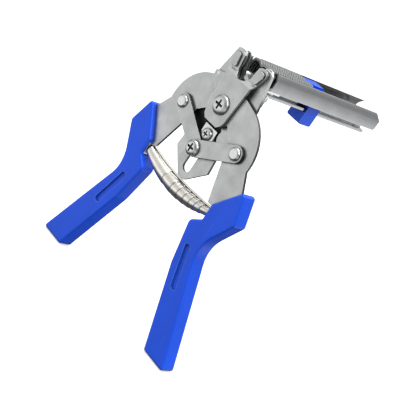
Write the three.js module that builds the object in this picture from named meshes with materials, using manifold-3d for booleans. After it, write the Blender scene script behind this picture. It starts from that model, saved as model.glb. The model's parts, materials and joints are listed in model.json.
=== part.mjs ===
// Magazine-fed wire cage clip pliers, at rest with the handles open.
// Millimetres. Origin: the rear end face of the pivot nut, on the main pivot axis.
// +X is to the right of a user who looks at the front plate, +Y runs back along
// the magazine, +Z points up to the jaws. The handles hang down.

import * as THREE from 'three';
import { mergeVertices } from 'three/addons/utils/BufferGeometryUtils.js';
import Module from 'manifold-3d';

const wasm = await Module();
wasm.setup();

// ---------------------------------------------------------------- dimensions

const PLATE = 2.0;            // thickness of the pressed steel plates
const PLAY = 0.25;            // running gap between neighbouring plates
const SEAT = 0.3;             // gap kept where one piece sits on another
const NUT_T = 2.6;            // thickness of the pivot nut
const LEAF_T = 0.8;           // thickness of the feed leaf

// Plate layers, from the back to the front (y of the rear face of each).
const REAR_Y = -NUT_T;
const LEAF_Y = REAR_Y - PLATE - 0.1;
const LEFT_Y = LEAF_Y - LEAF_T - 0.3;
const RIGHT_Y = LEFT_Y - PLATE - PLAY;
const FRONT_Y = RIGHT_Y - PLATE - PLAY;
const PRONG_Y = LEFT_Y - PLATE - 0.3;

// Linkage: the rivet radius equals the link length, so the toggle stays centred.
const CRANK = 34.2;           // pivot to link rivet, and link length
const CRANK_ANGLE = 62;       // degrees from straight down, handles open
const STROKE = 13;            // degrees that each handle closes
const LINK_W = 11;            // width of a link
const RIVET_X = CRANK * Math.sin(rad(CRANK_ANGLE));
const RIVET_Z = -CRANK * Math.cos(rad(CRANK_ANGLE));
const TOGGLE_Z = 2 * RIVET_Z;
const TOGGLE_LOW_Z = -2 * CRANK * Math.cos(rad(CRANK_ANGLE - STROKE));

// Pins and screws.
const PIVOT_R = 2.5;          // pivot screw shank
const SLEEVE_R = 4.0;         // pivot sleeve that the levers turn on
const PIN_R = 2.4;            // link rivet shank
const PIN_HEAD_R = 4.2;
const TOGGLE_R = 3.2;         // toggle screw shank in the guide slot
const RUN = 0.08;             // radial running clearance of shafts
const HUB_R = 13.2;           // lever eye around the pivot

// Head plates.
const GUIDE_HALF = 17.0;      // half width of the guide plate at its shoulders
const SLOT_R = TOGGLE_R + 0.5;
const GUIDE_TIP_Z = -53.4;
const HEAD_TOP_Z = 33.5;      // tips of the prongs
const NOTCH_HALF = 6.4;       // half width of the wire notch
const NOTCH_LOW_Z = 19;
const STEP_Z = [18.6, 21.4];     // the front plate steps back to the prongs here
const FEED_SCREW_Z = -20.8;   // screw of the feed block, under the pivot
const BRACKET_RIVET = { x: 15.8, z: 18, r: 1.45 };
const JAW_RIVETS = { inner: [-12.5, 14.4], outer: [-18.5, 12.9] };
const JAW_RIVET_R = 1.1;
const THROUGH = [5, -20];     // y ends of a tool that cuts through every plate

// Magazine.
const MAG_Y = [6, 119];       // channel, front to open end
const MAG_HALF = 11.4;        // half width outside
const MAG_TOP_HALF = 9.6;     // half width over the leaned-in lips
const MAG_Z = [22.0, 29.2, 33.4];  // floor, bend and rim of the channel
const SHEET = 1.0;            // channel sheet thickness
const RAIL_HALF = 5.0;        // lower rail flange, half width
const RAIL_WEB = 1.4;         // lower rail web, half width
const RAIL_Z = [15.6, 17.8];
const LEG_X = [2.4, 5.0];     // pusher legs pass slots in the channel floor

// Clips and pusher.
const CLIP_Y = [-1.6, 44];
const CLIP_PITCH = 2.4;
const CLIP_T = 1.6;           // strip thickness of a clip
const PUSHER_Y = [44.5, 66];
const PUSHER_HANDLE = { half: 6.4, y0: 52.8, y1: 64.8, low: 7.3 };

// Grips.
const GRIP_Y = [-11.2, 0.6]; // front and back of a grip
const GRIP_END_Z = -147.2;

// Return spring, a shallow arc between the two guards.
const SPRING = { seat: 34.6, y: -5.3, low: -60.6, sag: 5, belly: 5.7, end: 2.9, bore: 2.2, split: 3 };
const SPRING_END = SPRING.seat - 0.9;
const STUD_Z = SPRING.low + SPRING.sag;

// ------------------------------------------------------------------- helpers

function rad(degrees) {
  return degrees * Math.PI / 180;
}

function solid(geometry) {
  const bare = geometry.clone();
  bare.deleteAttribute('normal');
  bare.deleteAttribute('uv');
  const merged = mergeVertices(bare, 1e-4);
  return new wasm.Manifold(new wasm.Mesh({
    numProp: 3,
    vertProperties: new Float32Array(merged.attributes.position.array),
    triVerts: new Uint32Array(merged.index.array),
  }));
}

function geometryOf(manifold) {
  const mesh = manifold.getMesh();
  const geometry = new THREE.BufferGeometry();
  geometry.setAttribute('position', new THREE.BufferAttribute(mesh.vertProperties, 3));
  geometry.setIndex(new THREE.BufferAttribute(mesh.triVerts, 1));
  geometry.computeVertexNormals();
  return geometry;
}

function joined(...parts) {
  return parts.map(solid).reduce((whole, part) => whole.add(part));
}

function cut(body, ...tools) {
  return tools.map(solid).reduce((rest, tool) => rest.subtract(tool), body);
}

// A front-view outline (x, z) given depth from y = back to y = front.
function slab(outline, back, front, curveSegments = 10) {
  const shape = outline instanceof THREE.Shape ? outline : polygon(outline);
  const options = { depth: back - front, bevelEnabled: false, curveSegments };
  const geometry = new THREE.ExtrudeGeometry(shape, options);
  geometry.rotateX(Math.PI / 2);
  return geometry.translate(0, back, 0);
}

// A side-view outline (y, z) given width from x = left to x = right.
function wall(outline, left, right) {
  const options = { depth: right - left, bevelEnabled: false };
  const geometry = new THREE.ExtrudeGeometry(polygon(outline), options);
  const turn = new THREE.Matrix4().makeBasis(
    new THREE.Vector3(0, 1, 0), new THREE.Vector3(0, 0, 1), new THREE.Vector3(1, 0, 0));
  return geometry.applyMatrix4(turn).translate(left, 0, 0);
}

function polygon(points) {
  return new THREE.Shape(points.map(([x, z]) => new THREE.Vector2(x, z)));
}

// A round bar along Y, centred at (x, z).
function bar(x, z, radius, back, front, segments = 28) {
  const geometry = new THREE.CylinderGeometry(radius, radius, back - front, segments);
  return geometry.translate(x, (back + front) / 2, z);
}

function block(x0, x1, y0, y1, z0, z1) {
  const geometry = new THREE.BoxGeometry(x1 - x0, y1 - y0, z1 - z0);
  return geometry.translate((x0 + x1) / 2, (y0 + y1) / 2, (z0 + z1) / 2);
}

// A slot-shaped bar with round ends between two points in the front view.
function stadium(x0, z0, x1, z1, radius, back, front) {
  const along = Math.atan2(z1 - z0, x1 - x0);
  const shape = new THREE.Shape();
  shape.absarc(x0, z0, radius, along + Math.PI / 2, along + 3 * Math.PI / 2, false);
  shape.absarc(x1, z1, radius, along - Math.PI / 2, along + Math.PI / 2, false);
  return slab(shape, back, front, 12);
}

// A domed head whose flat side is at y = base and which bulges to the front.
function dome(x, z, radius, height, base, segments = 28) {
  const profile = [new THREE.Vector2(0, 0), new THREE.Vector2(radius, 0)];
  for (let i = 1; i <= 5; i += 1) {
    const angle = i * Math.PI / 10;
    const r = radius * (0.55 + 0.45 * Math.cos(angle));
    profile.push(new THREE.Vector2(i === 5 ? radius * 0.55 : r, height * (0.3 + 0.7 * Math.sin(angle))));
  }
  profile.push(new THREE.Vector2(0, height));
  const geometry = new THREE.LatheGeometry(profile, segments);
  return geometry.rotateX(Math.PI).translate(x, base, z);
}

// Cross recess cut into a screw head whose top is at y = top.
function crossRecess(x, z, arm, width, depth, top) {
  return [
    block(x - arm, x + arm, top - 1, top + depth, z - width / 2, z + width / 2),
    block(x - width / 2, x + width / 2, top - 1, top + depth, z - arm, z + arm),
  ];
}

// A counter-clockwise outline moved outwards by a distance, with mitred corners.
function grown(points, distance) {
  return points.map((point, i) => {
    const before = points[(i + points.length - 1) % points.length];
    const after = points[(i + 1) % points.length];
    const into = new THREE.Vector2(point[0] - before[0], point[1] - before[1]).normalize();
    const out = new THREE.Vector2(after[0] - point[0], after[1] - point[1]).normalize();
    const mitre = new THREE.Vector2(into.y + out.y, -into.x - out.x);
    mitre.multiplyScalar(distance / (1 + into.dot(out)));
    return [point[0] + mitre.x, point[1] + mitre.y];
  });
}

const mirror = (points) => points.map(([x, z]) => [-x, z]).reverse();

// --------------------------------------------------------------- materials

const finish = (color, roughness, metalness) => (
  () => new THREE.MeshStandardMaterial({ color, roughness, metalness }));
const plateSteel = finish(0xb9bbba, 0.38, 0.9);
const bareSteel = finish(0xd4d5d4, 0.25, 1.0);
const magazineSteel = finish(0x8e9091, 0.42, 0.9);
const darkSteel = finish(0x1d1e20, 0.5, 0.7);
const clipSteel = finish(0xc4c7c6, 0.3, 1.0);
const springSteel = finish(0xd9d6c9, 0.3, 1.0);
const bluePlastic = finish(0x1f46dd, 0.35, 0.0);

const pliers = new THREE.Group();

function add(name, shape, material) {
  const geometry = shape instanceof THREE.BufferGeometry ? shape : geometryOf(shape);
  const mesh = new THREE.Mesh(geometry, material());
  mesh.name = name;
  pliers.add(mesh);
}

// -------------------------------------------------------------- head plates

// Wire notch between the prongs, open at the top.
function notchShape() {
  const shape = new THREE.Shape();
  const centre = NOTCH_LOW_Z + NOTCH_HALF;
  shape.absarc(0, centre, NOTCH_HALF, Math.PI, 2 * Math.PI, false);
  shape.lineTo(NOTCH_HALF + 2.2, HEAD_TOP_Z + 6);
  shape.lineTo(-NOTCH_HALF - 2.2, HEAD_TOP_Z + 6);
  return shape;
}

function bracketRivetHoles() {
  const { x, z, r } = BRACKET_RIVET;
  return [-x, x].map((at) => bar(at, z, r + 0.15, ...THROUGH, 20));
}

// Rear plate: two prongs above, a joggle below the levers, a slotted guide tip.
function rearPlate() {
  const half = [
    [7.6, HEAD_TOP_Z], [9.5, HEAD_TOP_Z + 1.1], [12.4, HEAD_TOP_Z + 0.9], [14, HEAD_TOP_Z - 0.9],
    [15.6, 27], [19.6, 10], [20.2, 2], [20, -13], [15.6, -20.5], [15.6, -25.5], [16.3, -32],
    [GUIDE_HALF, -39.3], [3.4, GUIDE_TIP_Z + 0.8], [2, GUIDE_TIP_Z],
  ];
  const outline = [...half, ...mirror(half)].reverse();
  const low = LEFT_Y;
  const side = [
    [REAR_Y, 40], [REAR_Y - PLATE, 40], [REAR_Y - PLATE, -24.4], [low - PLATE, -27.7],
    [low - PLATE, -60], [low, -60], [low, -27.1], [REAR_Y, -23.8],
  ];
  const plate = solid(slab(outline, ...THROUGH)).intersect(solid(wall(side, -30, 30)));
  return cut(
    plate,
    slab(notchShape(), ...THROUGH),
    stadium(0, TOGGLE_Z, 0, TOGGLE_LOW_Z, SLOT_R, ...THROUGH),
    bar(0, 0, PIVOT_R + RUN, ...THROUGH),
    bar(0, FEED_SCREW_Z, 1.6, ...THROUGH),
    ...bracketRivetHoles(),
  );
}

// Front plate: raised centre strip over the pivot, stepping back to two prongs.
function frontPlate() {
  const half = [
    [7.6, HEAD_TOP_Z - 1.3], [9.4, HEAD_TOP_Z - 0.2], [11, HEAD_TOP_Z], [13.8, HEAD_TOP_Z - 0.1],
    [15.4, HEAD_TOP_Z - 1.5], [15.8, 30], [12.8, STEP_Z[1] + 0.2], [11.8, STEP_Z[0]], [11.6, 14],
    [10.2, 1.4], [9.5, -7.5], [8.2, -10.7], [5.8, -12.9],
  ];
  const outline = [...half, ...mirror(half)].reverse();
  const side = [
    [FRONT_Y, -20], [FRONT_Y, STEP_Z[0]], [PRONG_Y, STEP_Z[1]], [PRONG_Y, 40],
    [PRONG_Y - PLATE, 40], [PRONG_Y - PLATE, STEP_Z[1] + 0.3], [FRONT_Y - PLATE, STEP_Z[0] + 0.3],
    [FRONT_Y - PLATE, -20],
  ].reverse();
  const plate = solid(slab(outline, ...THROUGH)).intersect(solid(wall(side, -30, 30)));
  return cut(plate, slab(notchShape(), ...THROUGH), bar(0, 0, PIVOT_R + RUN, ...THROUGH));
}

add('rear_plate', rearPlate(), plateSteel);
add('front_plate', frontPlate(), plateSteel);

// ------------------------------------------------------ pivot and feed parts

function pivotScrew() {
  const face = FRONT_Y - PLATE - 0.05;
  const top = face - 2.3;
  const screw = joined(dome(0, 0, 6.3, 2.3, face, 32), bar(0, 0, PIVOT_R, REAR_Y - 0.2, face - 0.3));
  return cut(screw, ...crossRecess(0, 0, 2.5, 1.0, 1.3, top));
}

function pivotNut() {
  const hex = new THREE.CylinderGeometry(5.2, 5.2, NUT_T - 0.1, 6);
  hex.translate(0, -(NUT_T - 0.1) / 2, 0);
  return hex;
}

function pivotSleeve() {
  const sleeve = solid(bar(0, 0, SLEEVE_R, REAR_Y - PLATE - 0.1, FRONT_Y + 0.1, 36));
  return cut(sleeve, bar(0, 0, PIVOT_R + RUN, ...THROUGH));
}

add('pivot_screw', pivotScrew(), bareSteel);
add('pivot_nut', pivotNut(), bareSteel);
add('pivot_sleeve', pivotSleeve(), bareSteel);

// Anvil bar between the plates, just under the wire notch.
add('anvil', block(-3.2, 3.2, LEFT_Y - PLATE, REAR_Y - PLATE - 0.1, 14.2, 18.6), darkSteel);

// Blackened leaf on the rear plate that presses the clips forward.
function feedLeaf() {
  const shape = new THREE.Shape();
  shape.moveTo(-23.5, -9);
  shape.lineTo(-23.5, -15.8);
  shape.lineTo(-12.5, -23.6);
  shape.lineTo(7.5, -23.6);
  shape.quadraticCurveTo(5.2, -15, 9.5, -9);
  const leaf = solid(slab(shape, LEAF_Y, LEAF_Y - LEAF_T));
  return cut(leaf, bar(0, FEED_SCREW_Z, 1.6, ...THROUGH));
}

function feedBlock() {
  const top = LEFT_Y + 0.2;
  const outline = [[-6, -15.6], [-6, -22], [0, -24.9], [6, -22], [6, -15.6]];
  return cut(solid(slab(outline, top, top - 2.6)), bar(0, FEED_SCREW_Z, 1.6, ...THROUGH));
}

function feedScrew() {
  const face = LEFT_Y + 0.2 - 2.6 - 0.05;
  const head = dome(0, FEED_SCREW_Z, 4, 1.8, face, 32);
  const screw = joined(head, bar(0, FEED_SCREW_Z, 1.5, REAR_Y - 0.4, face - 0.3, 20));
  return cut(screw, ...crossRecess(0, FEED_SCREW_Z, 1.9, 0.7, 1, face - 1.8));
}

add('feed_leaf', feedLeaf(), darkSteel);
add('feed_block', feedBlock(), bareSteel);
add('feed_screw', feedScrew(), bareSteel);

// -------------------------------------------------------------------- levers

// Lower part of a lever on the +X side, from the inner edge round the tang
// inside the grip and back up to the foot of the round shoulder.
const TANG = [
  [31.1, -50.4], [38.6, -50.4], [38.6, -63], [36.6, -69], [37.6, -73.2], [43.4, -73.2],
  [44.4, -68], [46.5, -62], [50.9, -44], [49.2, -31], [42.9, -20],
];

// Lever outline on the +X side: quarter-round shoulder, straight inner edge
// and a short tang inside the guard of the grip.
function leverOutline() {
  const shape = new THREE.Shape();
  const neck = rad(-33.4);
  shape.moveTo(0, 0);
  shape.lineTo(HUB_R * Math.cos(neck), HUB_R * Math.sin(neck));
  shape.lineTo(18.9, -13.9);
  TANG.slice(0, -1).forEach(([x, z]) => shape.lineTo(x, z));
  shape.absarc(14.5, -17, 28.3, rad(-6), rad(72), false);
  shape.lineTo(12.5, 12.6);
  return shape;
}

// Jaw arm on the -X side, which crosses over the pivot from the lever.
const JAW_TOP = 33;
const jawArm = [
  [0, HUB_R], [-HUB_R * Math.cos(rad(20)), HUB_R * Math.sin(rad(20))],
  [-20.8, 8.9], [-21.2, 13.9], [-9.6, 16.6],
];
const jawTip = [
  [-9.8, 13.7], [-22.2, 10.6], [-21.4, 14.5], [-17.4, JAW_TOP], [-15.5, JAW_TOP + 0.9],
  [-10.4, JAW_TOP + 0.9], [-8.2, JAW_TOP - 3], [-8.4, 20],
];

// Eye of a lever: the hub disc behind the shoulder, closed over the sleeve.
const eye = (back, front) => bar(0, 0, HUB_R, back, front, 48);

function jawRivetHoles() {
  return Object.values(JAW_RIVETS).map(([x, z]) => bar(x, z, JAW_RIVET_R + 0.1, ...THROUGH, 16));
}

// The right lever is the front one and carries its jaw as a riveted block.
function rightLever() {
  const back = RIGHT_Y;
  const front = RIGHT_Y - PLATE;
  const body = joined(
    slab(leverOutline(), back, front, 14), eye(back, front), slab([...jawArm].reverse(), back, front));
  return cut(
    body,
    bar(0, 0, SLEEVE_R + RUN, ...THROUGH, 36),
    bar(RIVET_X, RIVET_Z, PIN_R + RUN, ...THROUGH),
    ...jawRivetHoles(),
  );
}

// The left lever lies behind it and its jaw is in one piece with it. A round
// lobe below its eye fills the corner beside the feed block.
function leftLever() {
  const back = LEFT_Y;
  const front = LEFT_Y - PLATE;
  const arm = [[-HUB_R * 0.4, HUB_R * 0.9], [-HUB_R, 2], [-21, 9.5], ...jawTip.slice(1), [-8.6, 16]];
  const body = joined(
    slab(leverOutline(), back, front, 14), eye(back, front), slab([...arm].reverse(), back, front),
    stadium(-8, -8, -13.5, -15, 3.5, back, front), bar(-13.5, -16.5, 6, back, front, 36));
  const left = body.mirror([1, 0, 0]);
  const rivetHole = bar(-RIVET_X, RIVET_Z, PIN_R + RUN, ...THROUGH);
  return cut(left, bar(0, 0, SLEEVE_R + RUN, ...THROUGH, 36), rivetHole);
}

add('left_lever', leftLever(), plateSteel);
add('right_lever', rightLever(), plateSteel);

// The right jaw block sits behind the arm of the right lever.
function jawBlock() {
  const body = solid(slab([...jawTip].reverse(), LEFT_Y, LEFT_Y - PLATE));
  return cut(body, ...jawRivetHoles());
}

add('jaw_block', jawBlock(), plateSteel);
for (const [place, [x, z]] of Object.entries(JAW_RIVETS)) {
  const rivet = bar(x, z, JAW_RIVET_R, LEFT_Y + 0.2, RIGHT_Y - PLATE + 0.1, 16);
  add(`jaw_rivet_${place}`, rivet, bareSteel);
}

// --------------------------------------------------------------------- links

// A link with round ends between its lever rivet and the toggle.
function link(side, back) {
  const front = back - PLATE;
  const body = solid(stadium(side * RIVET_X, RIVET_Z, 0, TOGGLE_Z, LINK_W / 2, back, front));
  return cut(
    body,
    bar(side * RIVET_X, RIVET_Z, PIN_R + RUN, ...THROUGH),
    bar(0, TOGGLE_Z, TOGGLE_R + RUN, ...THROUGH),
  );
}

function linkPin(side, back) {
  const front = back - 2 * PLATE - PLAY - 0.1;
  const tail = back + 0.15;
  return joined(
    dome(side * RIVET_X, RIVET_Z, PIN_HEAD_R, 1.5, front),
    bar(side * RIVET_X, RIVET_Z, PIN_R, tail + 0.3, front - 0.2),
    bar(side * RIVET_X, RIVET_Z, PIN_HEAD_R - 0.8, tail + 0.9, tail),
  );
}

function toggleScrew() {
  const face = FRONT_Y - PLATE - 0.1;
  const screw = joined(
    dome(0, TOGGLE_Z, 5.2, 2.6, face, 32),
    bar(0, TOGGLE_Z, TOGGLE_R, LEFT_Y + 0.3, face - 0.3),
    bar(0, TOGGLE_Z, 2, LEFT_Y + 3.2, face, 24),
  );
  return cut(screw, ...crossRecess(0, TOGGLE_Z, 2.4, 1.0, 1.4, face - 2.6));
}

function ring(z, radius, hole, back, front, segments) {
  return cut(solid(bar(0, z, radius, back, front, segments)), bar(0, z, hole, ...THROUGH, 24));
}

add('left_link', link(-1, RIGHT_Y), plateSteel);
add('right_link', link(1, FRONT_Y), plateSteel);
add('left_pin', linkPin(-1, LEFT_Y), bareSteel);
add('right_pin', linkPin(1, RIGHT_Y), bareSteel);
add('toggle_screw', toggleScrew(), bareSteel);
add('toggle_washer', ring(TOGGLE_Z, 5, 2.1, LEFT_Y + 1.2, LEFT_Y + 0.4, 28), bareSteel);
add('toggle_nut', ring(TOGGLE_Z, 4.3, 2.1, LEFT_Y + 3.6, LEFT_Y + 1.3, 6), bareSteel);

// --------------------------------------------------------------------- grips

// Grip outline on the +X side: guard, waist, finger hump and straight shank.
function gripOutline() {
  const shape = new THREE.Shape();
  shape.moveTo(35.4, -49);
  shape.lineTo(35.4, -60.6);
  shape.lineTo(29.6, -64.4);
  shape.quadraticCurveTo(26.9, -66.4, 27.8, -70);
  shape.lineTo(33.6, -94);
  shape.lineTo(54.4, -146);
  shape.quadraticCurveTo(54.9, GRIP_END_Z, 56.2, GRIP_END_Z);
  shape.lineTo(73, GRIP_END_Z);
  shape.quadraticCurveTo(75.4, GRIP_END_Z, 74.6, -144.6);
  shape.lineTo(51.6, -91);
  shape.bezierCurveTo(46.4, -78, 47, -70, 50.2, -64.6);
  shape.lineTo(59.3, -48.6);
  shape.lineTo(52.8, -30.3);
  shape.quadraticCurveTo(51.9, -28.5, 50.1, -29.1);
  return shape;
}

function grip(side, leverBack) {
  const recess = (back, front) => stadium(37.6, -77.5, 47, -105.8, 2.2, back, front);
  const right = cut(
    solid(slab(gripOutline(), GRIP_Y[1], GRIP_Y[0], 8)),
    slab(grown(TANG, SEAT), leverBack + SEAT, leverBack - PLATE - SEAT),
    recess(GRIP_Y[0] + 1.4, GRIP_Y[0] - 1),
    recess(GRIP_Y[1] + 1, GRIP_Y[1] - 1.4),
    block(35, 36.9, SPRING.y - 4.4, SPRING.y + 4.4, STUD_Z - 4.3, STUD_Z + 4.3),
  );
  return side > 0 ? right : right.mirror([1, 0, 0]);
}

// Stud on the guard that holds one end of the return spring.
function springStud(side) {
  const stud = new THREE.CylinderGeometry(1.4, 1.4, 3.4, 20).rotateZ(Math.PI / 2);
  const plate = block(-0.8, 0.8, -4.1, 4.1, -4, 4);
  plate.translate(side * 35.8, SPRING.y, STUD_Z);
  stud.translate(side * 34.0, SPRING.y, STUD_Z);
  return joined(plate, stud);
}

add('left_grip', grip(-1, LEFT_Y), bluePlastic);
add('right_grip', grip(1, RIGHT_Y), bluePlastic);
add('left_spring_stud', springStud(-1), bareSteel);
add('right_spring_stud', springStud(1), bareSteel);

// ------------------------------------------------------------- return spring

const springZ = (x) => SPRING.low + SPRING.sag * (x / SPRING.seat) ** 2;
const springR = (x) => SPRING.end + (SPRING.belly - SPRING.end) * (1 - ((x + 1) / SPRING.seat) ** 2);

// One half of the barrel-shaped return spring, as a sleeve bent along its arc.
function springHalf(from, to) {
  const steps = 10;
  const profile = [];
  for (let i = 0; i <= steps; i += 1) {
    const x = from + (to - from) * i / steps;
    profile.push(new THREE.Vector2(springR(x), x));
  }
  for (let i = 0; i <= steps; i += 1) {
    profile.push(new THREE.Vector2(SPRING.bore, to + (from - to) * i / steps));
  }
  profile.push(profile[0].clone());
  const sleeve = new THREE.LatheGeometry(profile, 28).rotateZ(-Math.PI / 2);
  const place = sleeve.attributes.position;
  for (let i = 0; i < place.count; i += 1) {
    place.setXYZ(i, place.getX(i), place.getY(i) + SPRING.y, place.getZ(i) + springZ(place.getX(i)));
  }
  return solid(sleeve);
}

add('spring_outer', springHalf(-SPRING_END, SPRING.split), springSteel);
add('spring_inner', springHalf(SPRING.split + 0.4, SPRING_END), springSteel);

// ------------------------------------------------------------------ magazine

// Channel of folded sheet, its walls leaned in at the top. The near wall ends
// short of the far one, which has a round thumb notch at the open end.
function channel() {
  const [floor, bend, rim] = MAG_Z;
  const inside = MAG_HALF - SHEET;
  const section = [
    [-MAG_TOP_HALF, rim], [-MAG_HALF, bend], [-MAG_HALF, floor], [MAG_HALF, floor],
    [MAG_HALF, bend], [MAG_TOP_HALF, rim], [MAG_TOP_HALF - SHEET, rim], [inside, bend - 0.2],
    [inside, floor + SHEET], [-inside, floor + SHEET], [-inside, bend - 0.2],
    [-MAG_TOP_HALF + SHEET, rim],
  ];
  const [front, end] = MAG_Y;
  const side = [
    [front, 15], [end - 1, 15], [end - 1, floor], [end, floor + 1.2], [end, bend], [end - 4.8, rim + 0.1],
    [end - 4.8, rim + 1], [front, rim + 1],
  ].reverse();
  const farSide = block(-20, -2, front, end, 15, rim + 1);
  const trim = joined(wall(side, -2.5, 20), farSide);
  const body = solid(slab(section, end, front)).intersect(trim);
  const legSlot = (sign) => block(
    Math.min(sign * LEG_X[0], sign * LEG_X[1]) - 0.4, Math.max(sign * LEG_X[0], sign * LEG_X[1]) + 0.4,
    PUSHER_HANDLE.y0 - 2, end - 3, floor - 1, floor + SHEET + 0.2);
  const farNotch = new THREE.CylinderGeometry(3.4, 3.4, 4, 24).rotateZ(Math.PI / 2);
  farNotch.translate(-MAG_HALF + 0.5, end + 0.6, 29.4);
  return cut(body, legSlot(-1), legSlot(1), farNotch, ...floorScrewHoles());
}

const BRACKET = { y: [REAR_Y + 0.1, 17], half: 18, z: [12.6, 20.6] };
const SHELF = { x: [RAIL_WEB + 0.5, 10.2], top: MAG_Z[0] - SEAT, t: 1.2 };
const FLOOR_SCREW = { x: 6.8, y: 11.5, r: 1.35 };

function floorBar(side, radius, low, high, segments = 20) {
  const geometry = new THREE.CylinderGeometry(radius, radius, high - low, segments).rotateX(Math.PI / 2);
  return geometry.translate(side * FLOOR_SCREW.x, FLOOR_SCREW.y, (low + high) / 2);
}

function floorScrewHoles() {
  const [floor] = MAG_Z;
  return [-1, 1].map((side) => floorBar(side, FLOOR_SCREW.r + 0.1, floor - 3, floor + 3));
}

// Lower rail: a T section under the channel that guides the pusher handle.
function lowerRail() {
  const [low, high] = RAIL_Z;
  const top = MAG_Z[0] - SEAT;
  const section = [
    [-RAIL_HALF, low], [RAIL_HALF, low], [RAIL_HALF, high], [RAIL_WEB, high], [RAIL_WEB, top],
    [-RAIL_WEB, top], [-RAIL_WEB, high], [-RAIL_HALF, high],
  ];
  return slab(section, MAG_Y[1] - 0.6, BRACKET.y[0] + 1.8);
}

// Bracket on the back of the rear plate: a flange, and a shelf on each side of
// the rail web that the channel floor is screwed to.
function bracket() {
  const [front, end] = BRACKET.y;
  const [low, high] = BRACKET.z;
  const { x: [near, far], top, t } = SHELF;
  const body = joined(
    block(-BRACKET.half, BRACKET.half, front, front + 1.5, low, high),
    block(-far, far, front, front + 1.5, high - 1, top),
    block(near, far, front, end, top - t, top),
    block(-far, -near, front, end, top - t, top),
  );
  return cut(body, ...bracketRivetHoles(), ...floorScrewHoles());
}

function bracketRivet(side) {
  const { x, z, r } = BRACKET_RIVET;
  const back = BRACKET.y[0] + 1.6;
  return joined(
    bar(side * x, z, r, back, REAR_Y - PLATE - 0.05, 20), bar(side * x, z, 2.4, back + 0.9, back, 20));
}

function floorScrew(side) {
  const { top, t } = SHELF;
  const face = top - t - 0.1;
  const shank = floorBar(side, FLOOR_SCREW.r, face - 0.2, MAG_Z[0] + 0.9);
  return joined(floorBar(side, 2.4, face - 1.1, face, 24), shank);
}

add('magazine_channel', channel(), magazineSteel);
add('lower_rail', lowerRail(), magazineSteel);
add('magazine_bracket', bracket(), plateSteel);
add('bracket_rivet_left', bracketRivet(-1), bareSteel);
add('bracket_rivet_right', bracketRivet(1), bareSteel);
add('floor_screw_left', floorScrew(-1), bareSteel);
add('floor_screw_right', floorScrew(1), bareSteel);

// ----------------------------------------------------------- clips and pusher

// One M-shaped clip: two legs and a dished back.
function clip(back, front) {
  const section = [
    [-8.9, 23.4], [-8.9, 30], [-7.2, 34], [-2, 34.2], [0, 32.6], [2, 34.2], [7.2, 34],
    [8.9, 30], [8.9, 23.4], [7.3, 23.4], [7.3, 29.6], [6.2, 32.4], [2.4, 32.5],
    [0, 30.6], [-2.4, 32.5], [-6.2, 32.4], [-7.3, 29.6], [-7.3, 23.4],
  ].reverse();
  return slab(section, back, front);
}

// The clips behind the front one, glued side by side into a stick.
add('clip_stick', clip(CLIP_Y[1], CLIP_Y[0] + CLIP_PITCH), clipSteel);
add('front_clip', clip(CLIP_Y[0] + CLIP_T, CLIP_Y[0]), clipSteel);

// Pusher: follower in the channel, two legs through the floor, handle below.
function pusher() {
  const [front, back] = PUSHER_Y;
  const { half, y0, y1, low } = PUSHER_HANDLE;
  const floor = MAG_Z[0];
  const top = floor - SEAT;
  const inside = MAG_HALF - SHEET - 0.6;
  const base = [[-inside, 23.3], [inside, 23.3], [inside, 28], [8.2, 29.4], [-8.2, 29.4], [-inside, 28]];
  const rib = [
    [front, 27], [back, 27], [back, 30.5], [back - 4, 33], [front + 1.5, 33], [front, 31.5],
  ];
  const body = joined(
    slab(base, back, front),
    wall(rib, -8, 0.5),
    wall([[y0, low + 1], [y0 + 1, low], [y1 - 1, low], [y1, low + 1], [y1, top], [y0, top]], -half, half),
    block(LEG_X[0], LEG_X[1], y0 + 0.6, y1 - 0.6, top - 1, 24),
    block(-LEG_X[1], -LEG_X[0], y0 + 0.6, y1 - 0.6, top - 1, 24),
  );
  return cut(
    body,
    block(-RAIL_HALF - SEAT, RAIL_HALF + SEAT, ...MAG_Y, RAIL_Z[0] - SEAT, RAIL_Z[1] + SEAT),
    block(-RAIL_WEB - SEAT, RAIL_WEB + SEAT, ...MAG_Y, RAIL_Z[1], floor),
  );
}

add('pusher', pusher(), bluePlastic);

export default pliers;
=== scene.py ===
"""Looks of the magazine-fed wire cage clip pliers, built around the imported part.

Shapes are drawn in millimetres in the part's own frame (+X right, +Y back along
the magazine, +Z up to the jaws) and scaled to metres when a piece is finished.
"""

import functools
import json
import math

import bmesh
import bpy
from mathutils import Matrix, Vector

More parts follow.
